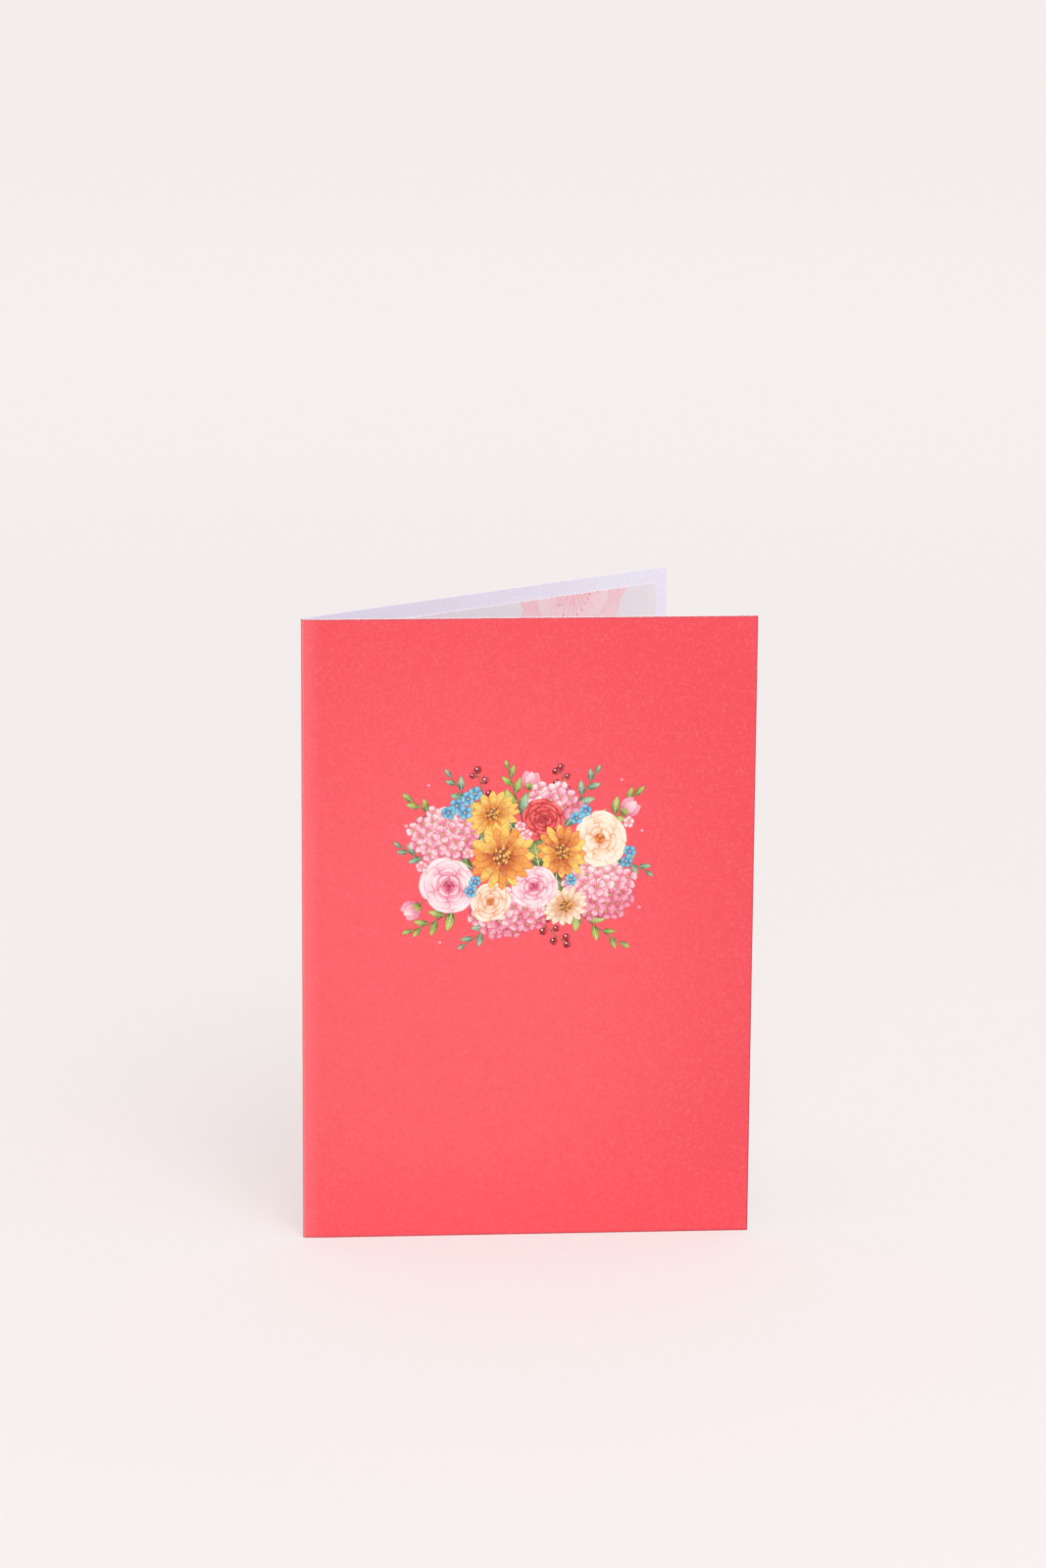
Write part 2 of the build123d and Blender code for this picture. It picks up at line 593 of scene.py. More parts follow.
def lip_shape(width):
    """The rolled rim of a broad petal: a crescent along its tip."""
    sweep = np.linspace(-LIP_SWEEP, LIP_SWEEP, LIP_POINTS)
    along, across = LIP_REACH
    outer = np.column_stack([LIP_MIDDLE + along * np.cos(sweep), across * np.sin(sweep)])
    inner = outer - np.column_stack([width * np.cos(sweep) ** 2, np.zeros(LIP_POINTS)])
    return np.vstack([outer, inner[-2:0:-1]])


def round_shape(rng, wave=0.04, steps=16):
    """A dot or dome in its own axes, with its root in the middle."""
    angle = np.linspace(0, math.tau, steps, endpoint=False)
    phases = [rng.uniform(0, math.tau) for _ in range(2)]
    reach = 1 + wave * (np.sin(3 * angle + phases[0]) + np.sin(5 * angle + phases[1]))
    return np.column_stack([reach * np.cos(angle), reach * np.sin(angle)])


def dot(rng, x, z, radius, inks, steps, line):
    shape = round_shape(rng, wave=0.05, steps=steps)
    return Mark(moved(x, z) @ stretched(radius, radius), shape, inks, line=line)


def curve_point(curve, share):
    """The place on a curve with one bend, and its heading there."""
    start, bend, end = (np.array(point, float) for point in curve)
    place = (1 - share) ** 2 * start + 2 * share * (1 - share) * bend + share ** 2 * end
    run = 2 * (1 - share) * (bend - start) + 2 * share * (end - bend)
    return place, math.atan2(run[1], run[0])


def stroke(curve, width, inks, steps=14, taper=0.6):
    """A tapering stroke along a curve with one bend."""
    sides = [], []
    for share in np.linspace(0, 1, steps):
        place, heading = curve_point(curve, share)
        half = width / 2 * (1 - taper * share)
        normal = np.array([-math.sin(heading), math.cos(heading)])
        sides[0].append(place + normal * half)
        sides[1].append(place - normal * half)
    outline = np.array(sides[0] + sides[1][::-1])
    run = np.subtract(curve[2], curve[0])
    axes = moved(*curve[0]) @ spun(math.atan2(run[1], run[0])) @ stretched(np.linalg.norm(run), width)
    return Mark(axes, carried(np.linalg.inv(axes), outline), inks, line=0.3)


# Inks, each as two display colours: at a mark's root and at its tip

WHITE_PINK = ((243, 150, 172), (255, 240, 241))
PALE_PINK = ((236, 120, 152), (253, 218, 225))
SOFT_PINK = ((222, 84, 124), (246, 172, 190))
ROSE_PINK = ((190, 44, 92), (233, 120, 152))
SHADOW_PINK = ((186, 62, 104), (214, 108, 140))
LIP_PINK = ((248, 176, 192), (255, 240, 242))
CREAM = ((232, 168, 104), (255, 241, 214))
LIP_CREAM = ((250, 214, 170), (255, 248, 232))
PEACH = ((226, 128, 84), (253, 214, 178))
GOLD = ((222, 128, 34), (253, 212, 104))
AMBER = ((196, 84, 26), (246, 164, 70))
RED = ((140, 10, 30), (222, 44, 52))
LIP_RED = ((214, 52, 58), (244, 112, 106))
SKY = ((38, 130, 192), (146, 216, 238))
LEAF_GREEN = ((92, 124, 40), (192, 206, 96))
DEEP_GREEN = ((58, 92, 44), (140, 166, 78))
SAGE = ((74, 122, 98), (166, 200, 158))
TWIG = ((112, 78, 50), (160, 124, 76))
VEIN = ((214, 222, 150), (232, 236, 186))
SAGE_VEIN = ((190, 216, 184), (214, 232, 206))
HONEY = ((176, 92, 24), (232, 152, 44))
BARK = ((92, 44, 26), (140, 76, 38))
POLLEN = ((250, 206, 84), (255, 232, 150))
EYE_GREEN = ((176, 178, 62), (236, 226, 128))
SHINE = ((255, 232, 226), (255, 246, 242))


# Flowers, leaves and berries as lists of marks, the lowest first

PETAL_SWAY = 0.07
PETAL_SIZES = (0.92, 1.06)

OUTER, MIDDLE, HEART = range(3)

# A rose's rings: how many petals, where they start, their length and width, and which of its inks
ROSE_RINGS = [
    (6, 0.10, 0.92, 1.02, OUTER), (5, 0.08, 0.76, 0.92, OUTER),
    (5, 0.02, 0.58, 0.66, MIDDLE), (4, -0.02, 0.40, 0.48, MIDDLE), (3, -0.04, 0.22, 0.30, HEART),
]
BROAD_PETAL = {"widest": 0.7, "fullness": 0.5, "wave": 0.07, "notch": 0.04}
LIP_WIDTHS = (0.12, 0.24)

# Roses' inks: for the outer and middle petals, the heart and the lips
PINK_ROSE = ([PALE_PINK], [SOFT_PINK], [ROSE_PINK], LIP_PINK)
CREAM_ROSE = ([CREAM], [CREAM, PEACH], [AMBER], LIP_CREAM)
PEACH_ROSE = ([PEACH], [PEACH], [AMBER], LIP_CREAM)
RED_ROSE = ([RED], [RED], [RED], LIP_RED)

# A daisy's rings: how many petals are missing, where they start, their length, width and turn
DAISY_RINGS = [(0, 0.12, 0.88, 0.30, 0.0), (2, 0.10, 0.76, 0.27, 0.2)]
SLENDER_PETAL = {"streaks": 0.9, "widest": 0.66, "fullness": 0.7}
DISC_REACH = 0.27
POLLEN_RINGS = [(13, 0.24), (8, 0.15), (4, 0.06)]
POLLEN_SIZE = 0.035

FLORET_PETAL = {"streaks": 0.5, "widest": 0.64, "fullness": 0.6, "notch": 0.08, "steps": 7}
FLORET_SQUASH = (0.84, 1.0)
EYE_SIZE = 0.15

# A pale head's florets, and its light, from the shaded foot to the lit crown
GOLDEN_ANGLE = math.pi * (3 - math.sqrt(5))
HEAD_FLORET = 2.8
HEAD_FLORET_SIZES = (0.92, 1.08)
HEAD_TINTS = [SOFT_PINK, PALE_PINK, WHITE_PINK]
MIDDLE_LIGHT = 0.5
CROWN_LIGHT = 0.36
SIDE_SHADE = 0.1
STRAY_LIGHT = 0.18

LEAF_BLADE = {"widest": 0.45, "fullness": 1.05, "wave": 0.04, "steps": 12}
MIDRIB = {"widest": 0.3, "fullness": 0.5, "wave": 0.0, "steps": 6}
SIDE_VEINS = (0.25, 0.42, 0.58)
VEINED_LENGTH = 5

STEM_WIDTH = 0.55
BERRIES = 7
BERRY_RADIUS = 0.95
SHINE_PLACE = np.array([-0.3, 0.35])

# A bud's petals: their lean, ink, length and width. Then its cup and its stem
BUD_PETALS = [(0.3, SOFT_PINK, 0.95, 0.62), (-0.3, SOFT_PINK, 0.95, 0.62), (0.0, PALE_PINK, 0.9, 0.56)]
BUD_PETAL = {"widest": 0.5, "fullness": 0.72, "wave": 0.04}
SEPAL = {"widest": 0.35, "fullness": 0.9, "wave": 0.0, "steps": 6}
BUD_STEM = 9.0
BUD_STEM_BEND = 0.8


def petal_ring(rng, axes, count, start, length, width, inks, turn, streaks=0.6, line=1.0, **shape):
    """Petals round a flower's middle, every other one laid over its neighbours."""
    marks = []
    for step in [*range(0, count, 2), *range(1, count, 2)]:
        angle = turn + math.tau * step / count + rng.uniform(-PETAL_SWAY, PETAL_SWAY)
        size = rng.uniform(*PETAL_SIZES)
        petal_axes = axes @ spun(angle) @ moved(start, 0) @ stretched(length * size, width / 2)
        marks.append(Mark(petal_axes, petal_shape(rng, **shape), rng.choice(inks), streaks, line))
    return marks


def flower_axes(x, z, radius, lean=0.0, squash=1.0):
    """A flower seen at a slant: squashed along the direction in which it leans."""
    return moved(x, z) @ spun(lean) @ stretched(radius * squash, radius) @ spun(-lean)


def rose(rng, x, z, radius, inks, lean, squash):
    """A full rose: rings of broad petals with rolled rims, deeper towards the heart."""
    axes = flower_axes(x, z, radius, lean, squash)
    *washes, lip_inks = inks
    marks = []
    for count, start, length, width, part in ROSE_RINGS:
        turn = rng.uniform(0, math.tau)
        for petal in petal_ring(rng, axes, count, start, length, width, washes[part], turn, **BROAD_PETAL):
            marks.append(petal)
            if part != HEART:
                lip = lip_shape(rng.uniform(*LIP_WIDTHS))
                marks.append(Mark(np.linalg.inv(petal.to_own), lip, lip_inks, line=0.25))
    return marks


def daisy(rng, x, z, radius, inks, lean, squash, petals=15):
    """A daisy: two rings of slender petals and a domed disc set with pollen."""
    axes = flower_axes(x, z, radius, lean, squash)
    marks = []
    for missing, start, length, width, turn in DAISY_RINGS:
        marks += petal_ring(rng, axes, petals - missing, start, length, width, inks, turn, **SLENDER_PETAL)
    marks.append(Mark(axes @ stretched(DISC_REACH, DISC_REACH), round_shape(rng), HONEY))
    for ring, (count, reach) in enumerate(POLLEN_RINGS):
        for step in range(count):
            grain = carried(axes, [turned(math.tau * (step + 0.5 * ring) / count, reach)])[0]
            pollen = (BARK, POLLEN)[(step + ring) % 2]
            marks.append(dot(rng, *grain, radius * POLLEN_SIZE, pollen, steps=6, line=0.0))
    return marks


def floret(rng, x, z, radius, inks, eye, petals, width):
    """A small open flower with a dot for its eye."""
    axes = flower_axes(x, z, radius, rng.uniform(0, math.tau), rng.uniform(*FLORET_SQUASH))
    turn = rng.uniform(0, math.tau)
    marks = petal_ring(rng, axes, petals, 0.03, 0.97, width, [inks], turn, **FLORET_PETAL)
    marks.append(dot(rng, x, z, radius * EYE_SIZE, eye, steps=8, line=0.8))
    return marks


def pale_head(rng, x, z, across, up, count):
    """A domed head of four-petalled florets on its shaded ground, laid from its edge to its middle."""
    dome = round_shape(rng, wave=0.03, steps=40)
    marks = [Mark(moved(x, z) @ stretched(across, up), dome, SHADOW_PINK, line=0.5)]
    for step in range(count, 0, -1):
        reach = math.sqrt((step - 0.5) / count)
        away = turned(step * GOLDEN_ANGLE, reach)
        size = HEAD_FLORET * (1 - 0.16 * reach) * rng.uniform(*HEAD_FLORET_SIZES)
        light = MIDDLE_LIGHT + CROWN_LIGHT * away.y - SIDE_SHADE * away.x
        light += rng.uniform(-STRAY_LIGHT, STRAY_LIGHT)
        tint = HEAD_TINTS[min(max(int(light * len(HEAD_TINTS)), 0), len(HEAD_TINTS) - 1)]
        place = (x + across * away.x, z + up * away.y)
        marks += floret(rng, *place, size, tint, EYE_GREEN, petals=4, width=0.98)
    return marks


def leaf(rng, x, z, heading, length, width, inks, rib):
    """A pointed leaf with its midrib, and with side veins where it is long enough."""
    axes = moved(x, z) @ spun(heading) @ stretched(length, width / 2)
    marks = [Mark(axes, petal_shape(rng, **LEAF_BLADE), inks, streaks=0.4)]
    marks.append(Mark(axes @ stretched(0.9, 0.07), petal_shape(rng, **MIDRIB), rib, line=0.0))
    for share in SIDE_VEINS if length > VEINED_LENGTH else ():
        for side in (1, -1):
            curve = carried(axes, [(share, 0), (share + 0.1, side * 0.3), (share + 0.17, side * 0.62)])
            marks.append(stroke(curve, 0.16, rib, 5))
    return marks


def along_stem(curve, count, start):
    """Steps along a stem to its tip: the share of its length, the place and the heading there.

    The last number is the side, which alternates and is 0 at the tip.
    """
    for step in range(count):
        share = start + (1 - start) * step / (count - 1)
        side = 0 if step == count - 1 else 1 if step % 2 else -1
        yield share, *curve_point(curve, share), side


def sprig(rng, curve, leaves, leaf_length, inks, rib):
    """A stem with leaves on alternate sides, shorter towards its tip."""
    marks = [stroke(curve, STEM_WIDTH, TWIG)]
    for share, place, heading, side in along_stem(curve, leaves, 0.22):
        length = leaf_length * (1.1 - 0.5 * share) * rng.uniform(0.9, 1.1)
        turn = heading + side * rng.uniform(0.6, 0.85) * (1.2 - 0.5 * share)
        marks += leaf(rng, *place, turn, length, length * 0.42, rng.choice(inks), rib)
    return marks


def berries(rng, curve):
    """A stem hung with round berries, each with a light spot."""
    marks = [stroke(curve, 0.45, TWIG)]
    for _, place, heading, side in along_stem(curve, BERRIES, 0.3):
        centre = place + np.array(turned(heading + side * 1.2, BERRY_RADIUS * 1.7 * abs(side)))
        if side:
            marks.append(stroke([place, (place + centre) / 2, centre], 0.3, TWIG, 4))
        size = BERRY_RADIUS * rng.uniform(0.85, 1.15)
        marks.append(dot(rng, *centre, size, RED, steps=14, line=1.0))
        marks.append(dot(rng, *(centre + SHINE_PLACE * size), size * 0.24, SHINE, steps=7, line=0.0))
    return marks


def rosebud(rng, x, z, heading, length):
    """A closed bud on its stem: two side petals, one in front and a green cup."""
    foot = turned(heading, -BUD_STEM)
    bend = (x + foot.x / 2, z + foot.y / 2 + BUD_STEM_BEND)
    marks = [stroke([(x + foot.x, z + foot.y), bend, (x, z)], STEM_WIDTH, TWIG)]
    axes = moved(x, z) @ spun(heading)
    for lean, inks, size, width in BUD_PETALS:
        petal_axes = axes @ spun(lean) @ stretched(length * size, length * width / 2)
        marks.append(Mark(petal_axes, petal_shape(rng, **BUD_PETAL), inks, streaks=0.6))
    for lean in (-0.5, 0.0, 0.5):
        sepal_axes = axes @ spun(lean) @ stretched(length * 0.42, length * 0.09)
        marks.append(Mark(sepal_axes, petal_shape(rng, **SEPAL), LEAF_GREEN, line=0.6))
    return marks


# The front picture, laid out in millimetres from its middle

FRONT_SEED = 7

# Sprigs: their stem's start, bend and end, how many leaves, and the leaves' length
GREEN_SPRIGS = [
    ([(-14, 2), (-22, 10), (-29, 15.5)], 7, 6.2), ([(0, 10), (-2, 17), (-4, 24)], 6, 5.4),
    ([(15, 4), (23, 10), (29.5, 16.5)], 7, 6.2), ([(-13, -10), (-21, -17), (-29, -19.5)], 7, 6.0),
    ([(12, -12), (18, -19), (26, -23.5)], 6, 5.6),
]
SAGE_SPRIGS = [
    ([(-8, 8), (-14, 15), (-19, 22)], 7, 5.4), ([(9, 8), (15, 15), (19, 22.5)], 7, 5.4),
    ([(-22, -1), (-28, 0), (-32, 3)], 5, 5.0), ([(22, 0), (28, -1), (32.5, -4)], 5, 5.0),
    ([(-4, -12), (-8, -19), (-15, -23.5)], 6, 5.4),
]
BERRY_STEMS = [
    [(-6, 8), (-11, 16), (-12, 24)], [(9, 10), (11, 18), (10, 24.5)], [(2, -12), (5, -19), (12, -24)],
]

# Buds: their place, heading and length
BUDS = [(-27.0, -12.5, 3.7, 6.0), (26.0, 11.5, 0.7, 6.0), (1.5, 18.5, 1.4, 5.6)]

# Leaves that fan out from under the large blooms, and the places and headings of those between them
FAN_LEAVES = 24
FAN_REACH = (17.5, 11.5)
FAN_DROP = 0.5
FAN_LENGTHS = (6.5, 8.5)
GAP_LEAF = (8.0, 3.8)
GAP_LEAVES = [
    (-14, 3, 0.6), (-13, -3, 2.6), (-9, -8, 0.4), (3, 6, 1.2), (14, 6, -0.9), (13, -2, 0.3),
    (5, -6, -1.0), (15, -5, 2.6), (-2, 7, 2.2), (-12, 9, 1.4), (4, 12, -0.4), (-2, -9, -2.4),
    (9, -4, -1.6), (10.5, -10.5, 1.0), (0.5, 5.5, -1.0), (7.5, 5.0, 3.7), (6.5, 0.8, 3.1),
    (4.5, -3.5, 1.75),
]

# Pale heads: their place, their reach across and up, and how many florets
PALE_HEADS = [
    (8, 15.0, 6.5, 4.8, 15), (-20.5, 6.0, 8.6, 7.4, 30),
    (20.5, -9.0, 9.0, 7.6, 32), (-4.0, -15.0, 9.6, 6.0, 28),
]

# Large blooms, the lowest first: their place, radius, inks, lean and squash
LARGE_BLOOMS = [
    (daisy, -8.0, 12.0, 7.2, [GOLD], 1.9, 0.84),
    (rose, 20.5, 5.0, 7.6, CREAM_ROSE, 0.3, 0.92),
    (rose, 5.5, 10.5, 5.8, RED_ROSE, 1.2, 0.9),
    (rose, -19.5, -7.5, 8.0, PINK_ROSE, 0.5, 0.93),
    (daisy, 11.5, -13.5, 6.4, [CREAM], -1.0, 0.86),
    (rose, -8.5, -12.0, 5.6, PEACH_ROSE, -0.6, 0.9),
    (daisy, 10.5, 1.5, 7.8, [AMBER, GOLD], 0.4, 0.88),
    (rose, 3.0, -8.0, 6.4, PINK_ROSE, -1.2, 0.92),
    (daisy, -5.5, 0.5, 9.4, [GOLD, AMBER], 2.6, 0.92, 17),
]

# Small flowers between the blooms: their radius, their ink and their places
SMALL_FLOWERS = [
    (2.1, SKY, [(-17.5, 14.4), (-14.6, 16.2), (-15.4, 12.4), (-12.6, 17.6), (-19.8, 12.4)]),
    (1.9, SKY, [
        (14.2, 10.6), (16.6, 12.6), (12.8, -6.2), (-12.6, -6.4), (-13.8, -9.2), (27.6, -1.4), (28.4, 1.4),
    ]),
    (1.7, WHITE_PINK, [(-0.6, 8.6), (1.0, 6.2), (-14.4, 1.4), (4.6, -14.6), (-26.8, -2.2), (28.0, 9.4)]),
]

# Loose dots: their place and radius
LOOSE_DOTS = [
    (-31, 9, 0.5), (-22, -23, 0.4), (31.5, 7, 0.45), (31, -14, 0.5), (-25, 20, 0.4), (26, 21, 0.4),
]


def greenery(rng):
    """The stems that rise behind the flowers and trail below them."""
    marks = []
    for sprigs, inks, rib in ((GREEN_SPRIGS, LEAF_GREEN, VEIN), (SAGE_SPRIGS, SAGE, SAGE_VEIN)):
        for curve, leaves, length in sprigs:
            marks += sprig(rng, curve, leaves, length, [inks], rib)
    for curve in BERRY_STEMS:
        marks += berries(rng, curve)
    for bud in BUDS:
        marks += rosebud(rng, *bud)
    return marks


def leaf_bed(rng):
    """Broad leaves that spread out from under the large blooms, and fill the gaps between them."""
    marks = []
    for step in range(FAN_LEAVES):
        heading = math.tau * step / FAN_LEAVES + rng.uniform(-0.1, 0.1)
        foot = turned(heading, 1)
        length = rng.uniform(*FAN_LENGTHS)
        inks, rib = (LEAF_GREEN, VEIN) if step % 3 else (SAGE, SAGE_VEIN)
        x, z = FAN_REACH[0] * foot.x, FAN_REACH[1] * foot.y - FAN_DROP
        marks += leaf(rng, x, z, heading, length, length * 0.46, inks, rib)
    for x, z, heading in GAP_LEAVES:
        marks += leaf(rng, x, z, heading, *GAP_LEAF, DEEP_GREEN, VEIN)
    return marks


def front_marks():
    """The front picture: a round posy of daisies, roses and pale heads among sprigs."""
    rng = random.Random(FRONT_SEED)
    marks = greenery(rng) + leaf_bed(rng)
    for head in PALE_HEADS:
        marks += pale_head(rng, *head)
    for bloom, *facts in LARGE_BLOOMS:
        marks += bloom(rng, *facts)
    for radius, inks, places in SMALL_FLOWERS:
        for x, z in places:
            marks += floret(rng, x, z, radius, inks, POLLEN, petals=5, width=0.86)
    for x, z, radius in LOOSE_DOTS:
        marks.append(dot(rng, x, z, radius, WHITE_PINK, steps=10, line=0.8))
    return marks


# The pale wash inside: one blossom, laid out in millimetres from its middle

WASH_PINK = ((248, 184, 192), (243, 204, 212))
WASH_PALE = ((248, 196, 204), (244, 213, 219))
WASH_STAMEN = ((244, 184, 196), (236, 172, 188))
WASH_SEED = ((212, 150, 168), (224, 170, 184))

INSIDE_SEED = 3
BLOSSOM_RADIUS = 18.6
HEART_REACH = 0.7

# Its rings of petals: their length and width, ink, turn and line
BLOSSOM_RINGS = [(0.96, 1.16, WASH_PINK, 0.33, 0.55), (0.64, 0.80, WASH_PALE, 0.95, 0.45)]
BLOSSOM_PETAL = {
    "streaks": 0.9, "widest": 0.66, "fullness": 0.45, "notch": 0.05, "wave": 0.04, "steps": 16,
}

# Its stamens, in a fan that is given in half turns
STAMENS = 15
FAN_START = 1.06
FAN_SWEEP = 0.88
STAMEN_LENGTHS = (6.0, 10.5)
STAMEN_BEND = 4.5
SEED_SIZES = (0.22, 0.34)


def inside_marks():
    """The wash inside: one large pale blossom that runs off the insert's top edge."""
    rng = random.Random(INSIDE_SEED)
    axes = flower_axes(0, 0, BLOSSOM_RADIUS)
    heart = round_shape(rng, wave=0.02, steps=40)
    marks = [Mark(axes @ stretched(HEART_REACH, HEART_REACH), heart, WASH_PALE, line=0.0)]
    for length, width, wash, turn, line in BLOSSOM_RINGS:
        marks += petal_ring(rng, axes, 5, 0.04, length, width, [wash], turn, line=line, **BLOSSOM_PETAL)
    for step in range(STAMENS):
        heading = math.pi * (FAN_START + FAN_SWEEP * step / (STAMENS - 1)) + rng.uniform(-0.05, 0.05)
        tip = turned(heading, rng.uniform(*STAMEN_LENGTHS))
        bend = turned(heading + rng.uniform(-0.2, 0.2), STAMEN_BEND)
        marks.append(stroke([(0, 0), bend, tip], 0.22, WASH_STAMEN, steps=8, taper=0.3))
        marks.append(dot(rng, tip.x, tip.y, rng.uniform(*SEED_SIZES), WASH_SEED, steps=8, line=0.4))
    return marks


# The prints as thin films of ink

INK_FILM = 0.04 * MM
INK_SINK = 0.01 * MM
WELD = 0.004
BARE = -1
SEED_STEP = 0.618

# The texture map of a print: the page's room and rim, and where its underside lies, drawn small
PAGE_ROOM = 1.2
PAGE_SPARE = 1.02
PAGE_RIM = 0.008
UNDERSIDE_SCALE = 0.12
UNDERSIDE_PLACE = (0.01, 0.87)

# Where the front picture's middle lies: from the card's left edge and from the floor, in millimetres
FRONT_PICTURE_ACROSS = 58.4
FRONT_PICTURE_UP = 105.0

# Where the inside blossom's middle lies: from the crease and below the insert's top edge
INSIDE_PICTURE_ALONG = 87.2
INSIDE_PICTURE_DOWN = -3.0
PAGE_REACH = 60.0
EDGE_GAP = 0.1

PAPER_WHITE = ink(255, 250, 248)
LINE_TINT = ink(224, 168, 176)


def sides_of(triangle):
    return [(triangle[step], triangle[(step + 1) % 3]) for step in range(3)]


def inside_outline(outline, points):
    """Which points an outline winds round."""
    run = np.roll(outline, -1, axis=0) - outline
    offset = points[:, None, :] - outline[None]
    left = run[:, 0] * offset[..., 1] > run[:, 1] * offset[..., 0]
    above_start = offset[..., 1] >= 0
    above_end = offset[..., 1] >= run[:, 1]
    upward = (above_start & ~above_end & left).sum(1)
    downward = (~above_start & above_end & ~left).sum(1)
    return upward != downward


def topmost(marks, points):
    """The number of the last mark over each point, or BARE."""
    over = np.full(len(points), BARE)
    left_to_right = np.argsort(points[:, 0])
    for number, mark in enumerate(marks):
        low, high = mark.outline.min(0), mark.outline.max(0)
        first, last = np.searchsorted(points[:, 0], (low[0], high[0]), sorter=left_to_right)
        near = left_to_right[first:last]
        near = near[(points[near, 1] > low[1]) & (points[near, 1] < high[1])]
        over[near[inside_outline(mark.outline, points[near])]] = number
    return over


def overlaid(marks):
    """All the marks' lines cut into triangles, with the topmost mark of each.

    Also gives each mark's inner lines and lone middle points, as they lie on the page.
    """
    points, rings, ring_marks, middles = [], [], [], {}
    for number, mark in enumerate(marks):
        for ring, ring_mark in ((mark.outline, BARE), (mark.inner_line(), number)):
            first = len(points)
            points += [Vector(point) for point in ring]
            if len(ring) == 1:
                middles[first] = number
                continue
            rings += [(first + step, first + (step + 1) % len(ring)) for step in range(len(ring))]
            ring_marks += [ring_mark] * len(ring)
    page, lines, triangles, point_sources, line_sources, _ = delaunay_2d_cdt(points, rings, [], 0, WELD)
    owners = topmost(marks, np.array(page)[np.array(triangles)].mean(1)).tolist()
    inner_lines = {
        frozenset(line): {ring_marks[number] for number in source}
        for line, source in zip(lines, line_sources)
    }
    lone = {
        place: middles[number]
        for place, source in enumerate(point_sources) for number in source if number in middles
    }
    return page, triangles, owners, inner_lines, lone


def visible_lines(triangles, owners, inner_lines):
    """The sides of triangles where one mark meets the next, or where a mark's inner line shows."""
    left = {side: owner for triangle, owner in zip(triangles, owners) for side in sides_of(triangle)}
    shown = [
        side for side, owner in left.items()
        if left.get(side[::-1], BARE) != owner
        or owner != BARE and owner in inner_lines.get(frozenset(side), ())
    ]
    return sorted({tuple(sorted(side)) for side in shown})


def visible_points(triangles, owners, lone):
    """The marks' lone middle points that no other mark covers."""
    around = {}
    for triangle, owner in zip(triangles, owners):
        for point in triangle:
            around.setdefault(point, set()).add(owner)
    return [point for point, mark in lone.items() if around.get(point) == {mark}]


def patchwork(marks, cutters=()):
    """Flattens overlapping marks: page points, triangles, and which mark lies on top of each.

    A second cut keeps only the lines that show. What the cutters cover is left out.
    """
    layers = [*marks, *cutters]
    page, triangles, owners, inner_lines, lone = overlaid(layers)
    shown = visible_lines(triangles, owners, inner_lines)
    needed = {point for side in shown for point in side}
    needed = sorted(needed.union(visible_points(triangles, owners, lone)))
    order = {point: number for number, point in enumerate(needed)}
    lines = [(order[first], order[second]) for first, second in shown]
    page, _, triangles, *_ = delaunay_2d_cdt([page[point] for point in needed], lines, [], 0, 0.0)
    page, triangles = np.array(page), np.array(triangles)
    owners = topmost(layers, page[triangles].mean(1))
    kept = (owners != BARE) & (owners < len(marks))
    used, corners = np.unique(triangles[kept], return_inverse=True)
    return page[used].tolist(), corners.reshape(-1, 3).tolist(), owners[kept]


def fans_apart(page, triangles):
    """Gives each fan of triangles its own copy of a point where two fans only touch."""
    page, triangles = list(page), [list(triangle) for triangle in triangles]
    around = {}
    for number, triangle in enumerate(triangles):
        for point in triangle:
            around.setdefault(point, []).append(number)
    for point, numbers in around.items():
        left = set(numbers)
        first_fan = True
        while left:
            fan, edge = set(), [left.pop()]
            while edge:
                number = edge.pop()
                fan.add(number)
                spokes = set(triangles[number]) - {point}
                near = [other for other in left if spokes & (set(triangles[other]) - {point})]
                left -= set(near)
                edge += near
            if not first_fan:
                page.append(page[point])
                for number in fan:
                    triangles[number][triangles[number].index(point)] = len(page) - 1
            first_fan = False
    return page, [tuple(triangle) for triangle in triangles]


def mark_readings(page, triangles, owners, marks):
    """What the ink needs to know at each triangle's corners: place in its mark, inks and habits."""
    corners = np.array(page)[np.array(triangles)]
    brush, habit = np.zeros((2, len(triangles), 3, 3))
    root, tip = np.zeros((2, len(triangles), 3, 4))
    for number, mark in enumerate(marks):
        own = np.flatnonzero(owners == number)
        if not len(own):
            continue
        places = corners[own].reshape(-1, 2)
        reading = np.column_stack([carried(mark.to_own, places), mark.rim_distance(places)])
        brush[own] = reading.reshape(-1, 3, 3)
        root[own], tip[own] = (ink(*colour) for colour in mark.inks)
        habit[own] = (number * SEED_STEP % 1.0, mark.streaks, mark.line)
    return {"brush": brush, "habit": habit, "root_ink": root, "tip_ink": tip}


def film_walls(triangles):
    """The rim of the film: each open side, with the triangle corners at its two ends."""
    inner = {side for triangle in triangles for side in sides_of(triangle)}
    walls, corners = [], []
    for number, triangle in enumerate(triangles):
        for step, (first, second) in enumerate(sides_of(triangle)):
            if (second, first) not in inner:
                walls.append((first, second))
                corners.append([(number, step), (number, (step + 1) % 3)])
    return walls, np.array(corners)


